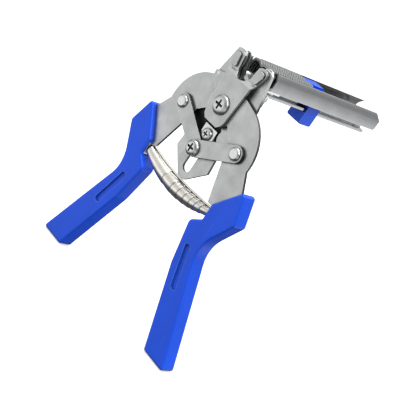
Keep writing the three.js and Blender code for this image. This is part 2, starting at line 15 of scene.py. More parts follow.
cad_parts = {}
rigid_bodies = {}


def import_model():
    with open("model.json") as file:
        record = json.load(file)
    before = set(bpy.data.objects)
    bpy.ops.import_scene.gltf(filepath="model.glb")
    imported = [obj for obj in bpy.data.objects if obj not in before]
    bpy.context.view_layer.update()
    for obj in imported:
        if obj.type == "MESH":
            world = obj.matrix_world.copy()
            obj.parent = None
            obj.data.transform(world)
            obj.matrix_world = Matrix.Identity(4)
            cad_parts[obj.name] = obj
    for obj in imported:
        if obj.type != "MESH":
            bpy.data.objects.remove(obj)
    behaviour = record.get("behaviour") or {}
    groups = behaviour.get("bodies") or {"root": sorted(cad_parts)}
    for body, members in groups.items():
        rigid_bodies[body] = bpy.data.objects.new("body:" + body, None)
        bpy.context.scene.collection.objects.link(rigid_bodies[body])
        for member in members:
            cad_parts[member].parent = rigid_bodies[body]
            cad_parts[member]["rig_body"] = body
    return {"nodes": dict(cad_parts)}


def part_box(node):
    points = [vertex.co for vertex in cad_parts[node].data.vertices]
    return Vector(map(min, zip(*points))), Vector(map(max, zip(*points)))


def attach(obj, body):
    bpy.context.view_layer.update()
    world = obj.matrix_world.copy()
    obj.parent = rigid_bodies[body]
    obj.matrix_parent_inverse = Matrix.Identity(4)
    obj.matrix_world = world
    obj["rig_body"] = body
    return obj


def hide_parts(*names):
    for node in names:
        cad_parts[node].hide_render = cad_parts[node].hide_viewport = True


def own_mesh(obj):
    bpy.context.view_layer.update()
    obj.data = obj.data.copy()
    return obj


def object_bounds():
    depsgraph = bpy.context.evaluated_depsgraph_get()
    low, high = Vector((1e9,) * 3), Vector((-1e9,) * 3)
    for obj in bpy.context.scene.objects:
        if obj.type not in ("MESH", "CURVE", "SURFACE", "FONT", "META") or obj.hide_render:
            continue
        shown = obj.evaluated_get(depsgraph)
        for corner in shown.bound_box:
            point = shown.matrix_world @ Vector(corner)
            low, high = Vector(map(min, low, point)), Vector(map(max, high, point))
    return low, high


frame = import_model()
cad_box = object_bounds()

MM = 0.001

# Camera of the product view, metres and degrees.
CAMERA_AT = Vector((0.49266, -0.5802, 0.16739))
CAMERA_AIM = Vector((0.01902, -0.00218, -0.05612))
CAMERA_ROLL = 33.63
CAMERA_LENS = 114.39
SENSOR = 36.0

# Edge rounding, millimetres.
PLATE_EDGE = 0.28
HEAD_PLATE_EDGE = 0.4
SHEET_EDGE = 0.16
RAIL_EDGE = 0.4
SMALL_EDGE = 0.12
PLASTIC_EDGE = 0.35
WIRE_EDGE = 0.35

# Pads on the prongs: their rise, and how far the prong face lies in front of the
# middle of the left lever, millimetres.
PAD_RISE = 0.35
PRONG_STAND_OFF = 4.35

# Cross recesses: inset of the outline at the mouth and at the bottom, and how
# thick the near-black liner painted into them as shade is, millimetres.
RECESS_DRAFT = (-0.12, 0.16)
RECESS_SHADE_DEPTH = 0.9

# Clips: spacing and wire thickness along the magazine, millimetres.
CLIP_PITCH = 2.4
CLIP_WIRE = 1.9

# Floor, metres: gap under the handle ends and half of its width.
FLOOR_GAP = 0.0005
FLOOR_REACH = 30.0
FLOOR_GLOW = 0.42

# Studio: grey levels of the surround from straight down (0) to straight up (1),
# and its strength in front of and behind the tool.
SKY_LEVELS = (
    (0.0, 0.08), (0.2, 0.08), (0.27, 0.72), (0.36, 0.8), (0.44, 0.55), (0.54, 0.24),
    (0.63, 0.26), (0.74, 0.8), (1.0, 1.1),
)
SKY_FRONT, SKY_BEHIND = 1.0, 1.65

# Softboxes: place and width in metres, power in watts.
LIGHT_AIM = (0, 0, -0.05)
SOFTBOXES = (
    ("key_softbox", (-0.2, -0.3, 0.95), 0.5, 5),
    ("side_softbox", (0.6, -0.5, 0.7), 0.35, 2.6),
    ("fill_softbox", (-0.7, -0.8, -0.1), 0.8, 1.1),
)


@functools.lru_cache(maxsize=None)
def box(*nodes):
    """Lowest and highest corner of some CAD nodes together, in millimetres."""
    corners = [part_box(node) for node in nodes]
    low = Vector(min(c[0][i] for c in corners) for i in range(3))
    high = Vector(max(c[1][i] for c in corners) for i in range(3))
    return low / MM, high / MM


def middle(node):
    """Centre of a CAD node's box, in millimetres."""
    low, high = box(node)
    return (low + high) / 2


# ------------------------------------------------------------------ materials


class Shader:
    """A node tree with a Principled shader, and short calls to wire it."""

    def __init__(self, name):
        self.material = bpy.data.materials.new(name)
        self.material.use_nodes = True
        self.tree = self.material.node_tree
        self.tree.nodes.clear()
        self.surface = self.tree.nodes.new("ShaderNodeBsdfPrincipled")
        output = self.tree.nodes.new("ShaderNodeOutputMaterial")
        self.link(self.surface.outputs["BSDF"], output.inputs["Surface"])
        self.place = self.node("ShaderNodeTexCoord").outputs["Object"]

    def node(self, kind, **values):
        node = self.tree.nodes.new(kind)
        for key, value in values.items():
            setattr(node, key, value)
        return node

    def link(self, source, target):
        self.tree.links.new(source, target)

    def noise(self, scale, stretch=(1, 1, 1), detail=4.0, roughness=0.6):
        """Noise in the part's frame; scale is in features per metre."""
        mapping = self.node("ShaderNodeMapping")
        mapping.inputs["Scale"].default_value = stretch
        self.link(self.place, mapping.inputs["Vector"])
        noise = self.node("ShaderNodeTexNoise")
        noise.inputs["Scale"].default_value = scale
        noise.inputs["Detail"].default_value = detail
        noise.inputs["Roughness"].default_value = roughness
        self.link(mapping.outputs["Vector"], noise.inputs["Vector"])
        return noise.outputs["Fac"]

    def ramp(self, source, low, high, out_low=0.0, out_high=1.0):
        """The source, mapped from low..high to out_low..out_high and clamped."""
        node = self.node("ShaderNodeMapRange")
        node.clamp = True
        node.inputs["From Min"].default_value = low
        node.inputs["From Max"].default_value = high
        node.inputs["To Min"].default_value = out_low
        node.inputs["To Max"].default_value = out_high
        self.link(source, node.inputs["Value"])
        return node.outputs["Result"]

    def arithmetic(self, operation, *sources):
        node = self.node("ShaderNodeMath", operation=operation)
        for socket, source in zip(node.inputs, sources):
            self.link(source, socket)
        return node.outputs["Value"]

    def add(self, *sources):
        total = sources[0]
        for source in sources[1:]:
            total = self.arithmetic("ADD", total, source)
        return total

    def times(self, first, second):
        return self.arithmetic("MULTIPLY", first, second)

    def mix(self, factor, first, second):
        """Mix of two colours, each a tuple or a socket."""
        node = self.node("ShaderNodeMix", data_type="RGBA")
        self.link(factor, node.inputs[0])
        for socket, value in ((node.inputs[6], first), (node.inputs[7], second)):
            if isinstance(value, tuple):
                socket.default_value = (*value, 1)
            else:
                self.link(value, socket)
        return node.outputs[2]

    def edges(self, radius):
        """1 on convex and concave edges narrower than the radius, 0 on flats."""
        bevel = self.node("ShaderNodeBevel", samples=4)
        bevel.inputs["Radius"].default_value = radius * MM
        flat = self.node("ShaderNodeNewGeometry").outputs["Normal"]
        dot = self.node("ShaderNodeVectorMath", operation="DOT_PRODUCT")
        self.link(bevel.outputs["Normal"], dot.inputs[0])
        self.link(flat, dot.inputs[1])
        return self.ramp(dot.outputs["Value"], 0.995, 0.93)

    def painted_crevice_shade(self, colour, reach, depth, mask=None):
        """Painted shade: the colour, darkened toward near black by up to depth where other
        surfaces are within reach.
        """
        crevice = self.node("ShaderNodeAmbientOcclusion", samples=6)
        crevice.inputs["Distance"].default_value = reach * MM
        shade = self.ramp(crevice.outputs["AO"], 0.35, 0.95, depth, 0.0)
        if mask:
            shade = self.times(shade, mask)
        return self.mix(shade, colour, (0.003, 0.003, 0.004))

    def bump(self, height, strength, distance):
        node = self.node("ShaderNodeBump")
        node.inputs["Strength"].default_value = strength
        node.inputs["Distance"].default_value = distance * MM
        self.link(height, node.inputs["Height"])
        self.link(node.outputs["Normal"], self.surface.inputs["Normal"])

    def finish(self, colour, roughness, metallic):
        self.link(colour, self.surface.inputs["Base Color"])
        self.link(roughness, self.surface.inputs["Roughness"])
        self.surface.inputs["Metallic"].default_value = metallic
        return self.material


def part_normal(s):
    """X, Y and Z of the surface normal in the part's frame."""
    turn = s.node("ShaderNodeVectorTransform", vector_type="NORMAL")
    turn.convert_from, turn.convert_to = "WORLD", "OBJECT"
    s.link(s.node("ShaderNodeNewGeometry").outputs["Normal"], turn.inputs["Vector"])
    apart = s.node("ShaderNodeSeparateXYZ")
    s.link(turn.outputs["Vector"], apart.inputs["Vector"])
    return apart.outputs


def part_place(s):
    """X, Y and Z of the surface point in the part's frame, metres."""
    apart = s.node("ShaderNodeSeparateXYZ")
    s.link(s.place, apart.inputs["Vector"])
    return apart.outputs


def side_walls(s):
    """1 on the walls round a plate, 0 on its front and rear face."""
    facing = s.arithmetic("ABSOLUTE", part_normal(s)["Y"])
    return s.ramp(facing, 0.35, 0.15)


def below_head(s):
    """1 below the clip guides of the head, 0 in them; heights in metres."""
    return s.ramp(part_place(s)["Z"], 0.020, 0.012)


def in_head(s):
    """1 between the prongs, 0 below them; heights in metres."""
    return s.ramp(part_place(s)["Z"], 0.016, 0.020)


def channel_inside(s):
    """1 on the wall faces that look towards the middle of the channel."""
    outward = s.times(part_normal(s)["X"], part_place(s)["X"])
    return s.ramp(outward, -0.002, -0.005)


def painted_corner_shade(s, base):
    """Painted shade in the corners, as on most of the steel."""
    return s.painted_crevice_shade(base, 1.2, 0.6)


def steel(name, colour, wear_and_edge_highlight, roughness, grain, grain_scale, bump=0.25, metallic=1.0,
          painted_shading=painted_corner_shade):
    """Metal with directional grain, cloudy patches, small pits and bright edges that are
    partly wear and partly a painted highlight; the last argument paints shade into
    its crevices and light or shade onto some of its faces."""
    s = Shader(name)
    lines = s.noise(grain_scale, grain, detail=3)
    clouds = s.noise(90, detail=5)
    pits = s.noise(2600, detail=2)
    shade = s.add(s.ramp(lines, 0.3, 0.7, -0.22, 0.22), s.ramp(clouds, 0.3, 0.7, 0.0, 1.0))
    dull = tuple(c * 0.86 for c in colour)
    base = s.mix(shade, dull, colour)
    # Bright edges: partly wear, partly a painted highlight.
    base = s.mix(s.edges(0.35), base, wear_and_edge_highlight)
    # Painted shade in crevices, and painted light or shade on some faces.
    base = painted_shading(s, base)
    gloss = s.add(
        s.ramp(lines, 0.3, 0.7, roughness - 0.05, roughness + 0.05),
        s.ramp(clouds, 0.35, 0.7, 0.05, -0.03),
        s.ramp(pits, 0.62, 0.75, 0.0, 0.08),
    )
    s.bump(s.add(lines, s.ramp(pits, 0.6, 0.8, 0.0, -0.6)), bump, 0.02)
    return s.finish(base, gloss, metallic)


def plate_wall_painted_light_and_shade(s, base):
    """Painted shade and light on the plates: walls below the head are painted near black as
    shade, walls in the head near white as light, and corners below the head get painted shade.
    """
    walls = side_walls(s)
    # Painted shade in the corners below the head.
    base = s.painted_crevice_shade(base, 1.6, 0.75, below_head(s))
    # Painted shade: walls below the head are near black.
    base = s.mix(s.times(walls, below_head(s)), base, (0.09, 0.09, 0.095))
    # Painted light: walls between the prongs are near white.
    return s.mix(s.times(walls, in_head(s)), base, (0.92, 0.93, 0.93))


def turn_gap_painted_shade(s, base):
    """Painted shade: dark gaps where one turn of the spring slips out of the one before it."""
    return s.painted_crevice_shade(base, 1.3, 0.97)


def channel_painted_shade(s, base):
    """Painted shade: the walls facing into the channel are painted dark grey, and its corners get
    painted shade.
    """
    return s.mix(channel_inside(s), s.painted_crevice_shade(base, 1.6, 0.75), (0.12, 0.12, 0.125))


def plastic(name, colour, wear_and_edge_highlight, roughness):
    """Moulded plastic: fine stipple, faint flow marks, scratches, edges lightened as a painted
    highlight and painted shade in recesses.
    """
    s = Shader(name)
    stipple = s.noise(2200, detail=3)
    flow = s.noise(45, (1, 1, 0.35), detail=3)
    scratch = s.noise(900, (1, 1, 0.06), detail=2)
    deep = tuple(c * 0.82 for c in colour)
    base = s.mix(s.ramp(flow, 0.3, 0.7), deep, colour)
    base = s.mix(s.ramp(scratch, 0.66, 0.78, 0.0, 0.25), base, wear_and_edge_highlight)
    # Painted highlight: edges lightened toward the lighter blue.
    base = s.mix(s.ramp(s.edges(0.9), 0.0, 1.0, 0.0, 0.6), base, wear_and_edge_highlight)
    # Painted shade in the finger slots and other recesses.
    base = s.painted_crevice_shade(base, 2.4, 0.8)
    gloss = s.add(
        s.ramp(stipple, 0.3, 0.7, roughness - 0.04, roughness + 0.06),
        s.ramp(scratch, 0.6, 0.8, 0.0, 0.1),
    )
    s.bump(stipple, 0.12, 0.03)
    s.surface.inputs["Specular IOR Level"].default_value = 0.36
    return s.finish(base, gloss, 0.0)


# Stretch of the grain along an axis.
ALONG_Z = (1, 1, 0.06)
ALONG_Y = (1, 0.05, 1)
ROUND = (1, 1, 1)
FINISHES = {
    "plate_steel": steel(
        "satin_plate", (0.5, 0.51, 0.51), (0.85, 0.86, 0.86), 0.33, ALONG_Z, 1500,
        painted_shading=plate_wall_painted_light_and_shade),
    # Front plate: the same steel without the painted wall shade and light, with brighter painted
    # edge highlights.
    "head_plate": steel(
        "satin_head_plate", (0.5, 0.51, 0.51), (0.9, 0.91, 0.91), 0.33, ALONG_Z, 1500),
    "zinc_steel": steel(
        "bright_zinc", (0.66, 0.67, 0.67), (0.95, 0.95, 0.95), 0.26, ROUND, 900, 0.12),
    "magazine_steel": steel(
        "rolled_channel", (0.5, 0.51, 0.52), (0.85, 0.85, 0.85), 0.17, ALONG_Y, 1700, 0.1,
        painted_shading=channel_painted_shade),
    # Near black: used for the liners painted into cross recesses as shade, and for the anvil and
    # feed leaf, whose black also stands in for the cavity's shade.
    "black_steel": steel(
        "blackened", (0.02, 0.021, 0.023), (0.2, 0.2, 0.2), 0.42, ALONG_Z, 1200, 0.3, 0.8),
    "clip_steel": steel(
        "galvanised_clip", (0.3, 0.31, 0.31), (0.5, 0.51, 0.51), 0.3, ALONG_Y, 1400, 0.15),
    "spring_steel": steel(
        "spring_strip", (0.88, 0.86, 0.79), (0.95, 0.93, 0.88), 0.24, ALONG_Z, 800, 0.15,
        painted_shading=turn_gap_painted_shade),
    # The lighter blue is for scratches and for the painted edge highlight.
    "blue_plastic": plastic(
        "blue_moulding", (0.005, 0.098, 0.92), (0.14, 0.36, 1.0), 0.33),
}


# -------------------------------------------------------------- mesh building


def added(name, data):
    """A new object of the scene that shows the data."""
    made = bpy.data.objects.new(name, data)
    bpy.context.scene.collection.objects.link(made)
    return made


def scaled(bm, name):
    """A mesh object in metres from a bmesh drawn in millimetres."""
    bmesh.ops.recalc_face_normals(bm, faces=bm.faces)
    bm.transform(Matrix.Scale(MM, 4))
    mesh = bpy.data.meshes.new(name)
    bm.to_mesh(mesh)
    bm.free()
    return added(name, mesh)


def skin(rings, closed_loop=False):
    """A bmesh whose rings of points are joined in order; the ends are capped
    unless the last ring meets the first."""
    bm = bmesh.new()
    rows = [[bm.verts.new(point) for point in ring] for ring in rings]
    pairs = list(zip(rows, rows[1:]))
    if closed_loop:
        pairs.append((rows[-1], rows[0]))
    for first, second in pairs:
        for i in range(len(first)):
            j = (i + 1) % len(first)
            bm.faces.new((first[i], first[j], second[j], second[i]))
    if not closed_loop:
        caps = [bm.faces.new(rows[0]), bm.faces.new(rows[-1])]
        bm.normal_update()
        bmesh.ops.triangulate(bm, faces=caps)
    return bm


def corner_directions(corners, i):
    """Corner i as a point, and the directions of the sides into and out of it."""
    here = Vector(corners[i][:2])
    before = Vector(corners[i - 1][:2])
    after = Vector(corners[(i + 1) % len(corners)][:2])
    return here, (here - before).normalized(), (after - here).normalized()


def offset_corners(corners, inward):
    """Corners (x, z, radius) of a counter-clockwise outline, moved inwards.
    A radius above 0 rounds the corner; it shrinks or grows with the offset."""
    moved = []
    for i, (x, z, radius) in enumerate(corners):
        _, into, out = corner_directions(corners, i)
        left = Vector((-into.y - out.y, into.x + out.x))
        left *= inward / (1 + into.dot(out))
        convex = into.x * out.y - into.y * out.x > 0
        new_radius = max(radius - inward, 0.05) if convex else radius + inward
        moved.append((x + left.x, z + left.y, new_radius))
    return moved


def rounded(corners, steps):
    """Outline points with every corner turned into an arc of the same point count."""
    points = []
    for i, (_, _, radius) in enumerate(corners):
        here, into, out = corner_directions(corners, i)
        turn = math.atan2(into.x * out.y - into.y * out.x, into.dot(out))
        side = Vector((-into.y, into.x)) * (1 if turn > 0 else -1)
        start = here - into * radius * math.tan(abs(turn) / 2)
        for k in range(steps + 1):
            a = abs(turn) * k / steps
            points.append(
                start + into * radius * math.sin(a) + side * radius * (1 - math.cos(a)))
    return points


def turned_edge(radius, steps):
    """(inset, depth) pairs of a quarter-round edge, from the face to the side."""
    quarter = [math.pi / 2 * k / steps for k in range(steps + 1)]
    return [(radius * (1 - math.sin(a)), radius * (1 - math.cos(a))) for a in quarter]


def moulding(corners, front, back, front_edge, back_edge, corner_steps=6, edge_steps=3):
    """A solid from a front-view outline, with rounded front and back edges."""
    rings = []
    for inset, depth in turned_edge(front_edge, edge_steps):
        rings.append((front + depth, inset))
    for inset, depth in reversed(turned_edge(back_edge, edge_steps)):
        rings.append((back - depth, inset))
    return skin([
        [(p.x, y, p.y) for p in rounded(offset_corners(corners, inset), corner_steps)]
        for y, inset in rings
    ])


def turned(profile, centre, steps=48):
    """A solid turned about a Y axis through centre, from (radius, y) points."""
    rings = []
    for radius, y in profile:
        ring = []
        for k in range(steps):
            a = 2 * math.pi * k / steps
            ring.append((centre[0] + radius * math.cos(a), y, centre[1] + radius * math.sin(a)))
        rings.append(ring)
    return skin(rings)


def mirrored(corners):
    """The outline on the other side of the tool, still counter-clockwise."""
    return [(-x, z, radius) for x, z, radius in reversed(corners)]


def slab(corners, front, back):
    """A solid from a front-view outline, with sharp edges."""
    return moulding(corners, front, back, 0.05, 0.05, 6, 1)


def copy_of(node, name):
    """The CAD node's own shape as a new object, with its flats merged."""
    bm = bmesh.new()
    bm.from_mesh(frame["nodes"][node].data)
    bm.transform(Matrix.Scale(1 / MM, 4))
    bmesh.ops.remove_doubles(bm, verts=bm.verts, dist=2e-3)
    bmesh.ops.dissolve_limit(
        bm, angle_limit=math.radians(0.5), verts=bm.verts, edges=bm.edges)
    return scaled(bm, name)


def applied(target):
    """The target with its modifiers turned into mesh."""
    graph = bpy.context.evaluated_depsgraph_get()
    mesh = bpy.data.meshes.new_from_object(target.evaluated_get(graph))
    target.modifiers.clear()
    target.data = mesh
    return target


def carve(target, *cutters, operation="DIFFERENCE"):
    """Boolean of the target with each cutter; the cutters are used up."""
    for cutter in cutters:
        modifier = target.modifiers.new("carve", "BOOLEAN")
        modifier.operation = operation
        modifier.solver = "EXACT"
        modifier.object = cutter
        applied(target)
        bpy.data.objects.remove(cutter)
    return target


def eased(target, width, angle=38, segments=2):
    """Rounds the edges that are sharper than the angle."""
    modifier = target.modifiers.new("eased", "BEVEL")
    modifier.width = width * MM
    modifier.segments = segments
    modifier.limit_method = "ANGLE"
    modifier.angle_limit = math.radians(angle)
    modifier.use_clamp_overlap = True
    modifier.miter_outer = "MITER_ARC"
    return applied(target)


def dress(target, body, slot, *nodes, smooth=32, finish=None):
    """Finish, shading, body and replaced CAD nodes of a piece."""
    mesh = target.data
    mesh.materials.clear()
    mesh.materials.append(FINISHES[finish or slot])
    mesh.shade_smooth()
    mesh.set_sharp_from_angle(angle=math.radians(smooth))
    weighted = target.modifiers.new("weighted", "WEIGHTED_NORMAL")
    weighted.keep_sharp = True
    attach(target, body)
    if nodes:
        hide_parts(*nodes)


def eased_copy(node, name, slot, width, angle=38):
    """A CAD node shown with its own shape and rounded edges."""
    body = frame["nodes"][node]["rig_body"]
    dress(eased(copy_of(node, name), width, angle), body, slot, node)


# ---------------------------------------------------------------- steel plates


def plates():
    """Plates, levers and links, with the rounded edges of pressed steel."""
    for node in (
        "rear_plate", "left_lever", "right_lever", "left_link", "right_link", "jaw_block",
    ):
        eased_copy(node, node + "_pressing", "plate_steel", PLATE_EDGE)


def front_plate():
    """The front plate, with a raised pad on each prong."""
    plate = copy_of("front_plate", "front_plate_pressing")
    prong_face = middle("left_lever").y - PRONG_STAND_OFF
    pad = [
        (8.1, 23.2, 1.2), (12.6, 22.6, 1.4), (14.9, 28.4, 2.5), (14.6, 31.5, 1.8),
        (9.8, 31.9, 1.8),
    ]
    for corners in (pad, mirrored(pad)):
        raised = moulding(corners, prong_face - PAD_RISE, prong_face + 0.6, 0.28, 0.05)
        carve(plate, scaled(raised, "pad"), operation="UNION")
    dress(
        eased(plate, HEAD_PLATE_EDGE), "frame", "plate_steel", "front_plate",
        finish="head_plate")


# -------------------------------------------------------------- pins and screws


def head_profile(radius, height, base, flat=0.35):
    """(radius, y) points of a domed head, from its flat underside to the crown."""
    points = [(radius - 0.15, base), (radius, base - 0.15), (radius, base - height * flat)]
    steps = 8
    for k in range(1, steps + 1):
        a = math.pi / 2 * k / steps
        drop = height * (flat + (1 - flat) * math.sin(a))
        points.append((max(radius * (0.42 + 0.58 * math.cos(a)), 0.3), base - drop))
    points.append((0.3, base - height))
    return points


def cross_bars(centre, arm, width):
    """Outlines of the level and the upright bar of a cross; arm and width are the
    half length and half width of a bar."""
    bars = []
    for wide, high in ((arm, width), (width, arm)):
        corners = [(-wide, -high), (wide, -high), (wide, high), (-wide, high)]
        bars.append([(x + centre[0], z + centre[1], 0.1) for x, z in corners])
    return bars


def cross_cutters(centre, top, arm, width, depth):
    """Tapered arms of a cross recess."""
    mouth, bottom = RECESS_DRAFT
    cutters = []
    for bar in cross_bars(centre, arm, width):
        rings = []
        for y, inset in ((top - 1.0, mouth), (top + depth, bottom)):
            outline = rounded(offset_corners(bar, inset), 2)
            rings.append([(p.x, y, p.y) for p in outline])
        cutters.append(scaled(skin(rings), "cutter"))
    return cutters


def recess_shade_liner(centre, top, arm, width, body, name):
    """Painted shade: a near-black liner at the bottom of a cross recess."""
    first, second = [
        scaled(moulding(bar, top, top + RECESS_SHADE_DEPTH, 0.08, 0.05, 3, 2), name)
        for bar in cross_bars(centre, arm, width)
    ]
    dress(carve(first, second, operation="UNION"), body, "black_steel")


def shank_profile(base, end, radius, chamfer, tip, shoulder=None):
    """(radius, y) points of a shank that starts inside the head; a shoulder is a
    (radius, length) of its first stretch."""
    start = base - 0.3
    if shoulder:
        wide, length = shoulder
        points = [(wide, start), (wide, base + length), (radius, base + length + 0.1)]
    else:
        points = [(radius, start)]
    return points + [(radius, end - chamfer), (tip, end)]


def cross_screw(node, body, clamped, gap, recess, shade_liner_size, shank, ease):
    """Domed screw over the clamped piece. recess is the arm, width and depth of
    its cross, the argument after it the arm, width and level of the near-black liner
    painted at the bottom of the recess as shade, and shank what shank_profile takes."""
    low, high = box(node)
    centre = (0, middle(node).z)
    crown = low.y
    base = box(clamped)[0].y - gap
    radius = (high.x - low.x) / 2
    head = turned(head_profile(radius, base - crown, base), centre)
    screw = carve(scaled(head, node + "_head"), *cross_cutters(centre, crown, *recess))
    stem = turned(shank_profile(base, high.y, *shank), centre, 32)
    carve(screw, scaled(stem, "shank"), operation="UNION")
    dress(eased(screw, ease, 50), body, "zinc_steel", node)
    arm, width, level = shade_liner_size
    # Painted shade: a near-black liner at the bottom of the cross recess.
    recess_shade_liner(centre, crown + level, arm, width, body, node + "_recess")


def cross_screws():
    cross_screw(
        "pivot_screw", "frame", "front_plate", 0.05, recess=(3.3, 0.72, 1.7),
        shade_liner_size=(3.1, 0.66, 0.55), shank=(2.4, 0.3, 2.1), ease=0.1)
    cross_screw(
        "feed_screw", "frame", "feed_block", 0.05, recess=(2.2, 0.55, 1.1),
        shade_liner_size=(2.0, 0.5, 0.35), shank=(1.45, 0.2, 1.2), ease=0.08)
    cross_screw(
        "toggle_screw", "right_link", "right_link", 0.1, recess=(2.9, 0.68, 1.7),
        shade_liner_size=(2.7, 0.62, 0.55), shank=(1.95, 0.2, 1.75, (3.15, 6.0)), ease=0.1)


def link_pin(side, link):
    """Peened rivet of one link: a low flat-topped head with a chamfered rim."""
    node = side + "_pin"
    low, high = box(node)
    at = middle(node)
    base = box(link)[0].y - 0.05
    r = (high.x - low.x) / 2
    crown = low.y
    profile = [
        (r - 0.1, base), (r, base - 0.12), (r, base - 0.62), (r - 0.18, base - 0.95),
        (r - 0.75, crown + 0.14), (r - 1.15, crown + 0.02), (r - 2.2, crown), (0.4, crown + 0.12),
    ]
    pin = scaled(turned(profile, (at.x, at.z)), node + "_head")
    shank = [
        (2.3, base - 0.2), (2.3, high.y - 0.8), (3.3, high.y - 0.7), (3.2, high.y - 0.1),
        (2.9, high.y),
    ]
    carve(pin, scaled(turned(shank, (at.x, at.z), 32), "shank"), operation="UNION")
    dress(pin, side + "_handle", "zinc_steel", node)


def small_fasteners():
    """Turned and hexagonal pieces that show their CAD shape, with eased edges."""
    for node in (
        "pivot_nut", "pivot_sleeve", "feed_block", "toggle_washer", "toggle_nut",
        "bracket_rivet_left", "bracket_rivet_right", "floor_screw_left", "floor_screw_right",
        "jaw_rivet_inner", "jaw_rivet_outer", "left_spring_stud", "right_spring_stud",
    ):
        eased_copy(node, node + "_turned", "zinc_steel", SMALL_EDGE)
    # The anvil and the feed leaf are near-black steel, which also stands in for the shade of the
    # cavity round the feed screw.
    for node in ("anvil", "feed_leaf"):
        eased_copy(node, node + "_blackened", "black_steel", SMALL_EDGE)


# ------------------------------------------------------------------------ grips


GRIP_FRONT_EDGE, GRIP_BACK_EDGE = 1.5, 2.6
FINGER_SLOT_DEPTH = 1.35
FINGER_SLOT_CORNER = 2.1


def grip(side):
    """Moulded grip: guard, waist, finger hump and shank, crisp at the front and
    well rounded at the back, with a long finger slot on both faces."""
    node = side + "_grip"
    low, high = box(node)
    foot = low.z
    tip = max(abs(low.x), abs(high.x))
    corners = [
        (35.4, -49, 0.9), (35.4, -60.4, 1.6), (27.0, -66.2, 3.4), (33.6, -94, 20),
        (tip - 20.6, foot, 1.8), (tip + 0.5, foot, 1.8), (51.9, -91.6, 12), (44.4, -74.2, 22),
        (59.3, -48.6, 3.0), (52.2, -27.9, 2.2),
    ]
    slot = [
        (x, z, FINGER_SLOT_CORNER)
        for x, z in ((35.4, -78.3), (44.8, -106.6), (49.3, -105.1), (39.9, -76.8))
    ]
    if side == "left":
        corners, slot = mirrored(corners), mirrored(slot)
    body = moulding(corners, low.y, high.y, GRIP_FRONT_EDGE, GRIP_BACK_EDGE, 8, 5)
    body = scaled(body, node + "_moulding")
    cutters = [
        scaled(slab(slot, low.y - 1, low.y + FINGER_SLOT_DEPTH), "cutter"),
        scaled(slab(slot, high.y - FINGER_SLOT_DEPTH, high.y + 1), "cutter"),
        copy_of(side + "_lever", "cutter"),
        copy_of(side + "_spring_stud", "cutter"),
    ]
    carve(body, *cutters)
    dress(eased(body, PLASTIC_EDGE, 50), side + "_handle", "blue_plastic", node, smooth=40)


# ---------------------------------------------------------------- return spring


# Half length and sag of the spring's arc, its outer and bore radii, and the x
# where it is thickest.
SPRING_END = 34.6
SPRING_SAG = 5.0
SPRING_BELLY, SPRING_WIDE_TIP, SPRING_NARROW_TIP = 5.7, 3.7, 2.9
SPRING_THICKEST = -1
WIDE_BORE, NARROW_BORE = 2.75, 2.5

# Where a turn ends, and how deep the next one slips under it.
WIDE_RIMS, WIDE_LIP = (-9.5, 0.2), 0.4
NARROW_RIMS, NARROW_LIP = (6.9, 12.9, 18.3, 23.0, 27.6), 0.5
RIM_SKEW = 0.35

# Guide strip: half width, half thickness, gap above the turns, least height.
STRIP_HALF, STRIP_THICK = 1.1, 0.22
STRIP_GAP, STRIP_LOWEST = 0.35, 3.4


def spring_axis(x):
    """Centre of the return spring at x: a shallow arc between the grips."""
    low, high = box("spring_outer")
    rise = SPRING_SAG * (x / SPRING_END) ** 2
    return Vector((x, (low.y + high.y) / 2, low.z + SPRING_BELLY + rise))


def spring_radius(x):
    """Outer radius at x: a barrel with a wider end on the left."""
    tip = SPRING_WIDE_TIP if x < SPRING_THICKEST else SPRING_NARROW_TIP
    return tip + (SPRING_BELLY - tip) * (1 - ((x - SPRING_THICKEST) / SPRING_END) ** 2)


def sleeve(profile, bore, steps=48):
    """A bent sleeve from (x, radius, skew) rims; skew tilts a rim about Y."""
    angles = [2 * math.pi * k / steps for k in range(steps)]
    rings = []
    for x, radius, skew in profile:
        rings.append([
            spring_axis(x + skew * math.cos(a))
            + Vector((0, radius * math.sin(a), radius * math.cos(a))) for a in angles
        ])
    for x, _, _ in reversed(profile):
        rings.append([
            spring_axis(x) + Vector((0, bore * math.sin(a), bore * math.cos(a))) for a in angles
        ])
    return skin(rings, closed_loop=True)


def strip_turns(start, end, rims, lip):
    """(x, radius, skew) rims of the turns of the flat strip. Each turn slips out
    of the one before it, so it starts a lip deeper and swells to the barrel."""
    profile = [(start, spring_radius(start) - 0.05, 0)]
    stations = [start, *rims, end]
    for x0, x1 in zip(stations, stations[1:]):
        sunk = 0.05
        if x0 > start:
            sunk = lip
            profile.append((x0 + 0.08, spring_radius(x0) - lip, RIM_SKEW))
        for t in (0.25, 0.5, 0.75):
            x = x0 + (x1 - x0) * t
            profile.append((x, spring_radius(x) - sunk * (1 - t) ** 2, RIM_SKEW))
        profile.append((x1 - 0.45, spring_radius(x1), RIM_SKEW))
        profile.append((x1 - 0.16, spring_radius(x1) - 0.06, RIM_SKEW))
    profile.append((end, spring_radius(end) - 0.08, 0))
    return profile


def spring_strip(start, end):
    """Flat guide strip that runs just above the turns."""
    rings = []
    steps = 24
    section = [
        Vector((0, -STRIP_HALF, -STRIP_THICK)), Vector((0, STRIP_HALF, -STRIP_THICK)),
        Vector((0, STRIP_HALF, STRIP_THICK)), Vector((0, -STRIP_HALF, STRIP_THICK)),
    ]
    for k in range(steps + 1):
        x = start + (end - start) * k / steps
        lift = Vector((0, 0, max(spring_radius(x) + STRIP_GAP, STRIP_LOWEST)))
        centre = spring_axis(x) + lift
        rings.append([centre + corner for corner in section])
    return skin(rings)


